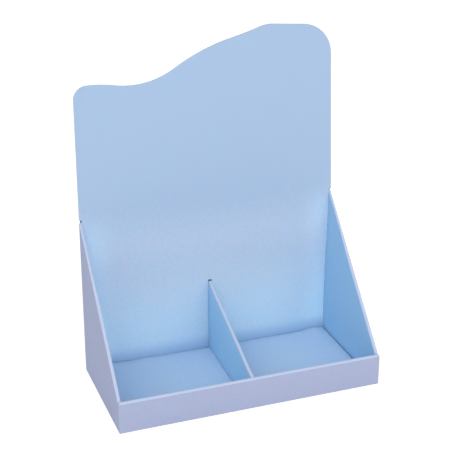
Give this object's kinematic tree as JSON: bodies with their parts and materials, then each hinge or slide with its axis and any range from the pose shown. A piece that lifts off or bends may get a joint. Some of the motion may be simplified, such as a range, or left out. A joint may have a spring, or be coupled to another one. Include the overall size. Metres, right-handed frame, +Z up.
{
  "type": "cardboard display stand",
  "caption": "Open-front counter display tray of folded corrugated board with a low front lip, slanted side walls, a slotted-in divider and a tall wavy header.",
  "frame": {"origin": "middle of the footprint, on the surface the stand rests on", "axes": "+X to the user's right along the front lip, +Y from the front lip to the back panel, +Z up"},
  "size_m": [0.25, 0.1186, 0.3196],
  "materials": {
    "board": "matte pale blue printed liner"
  },
  "bodies": {
    "root": {"display_body": "board", "divider": "board"}
  },
  "joints": []
}
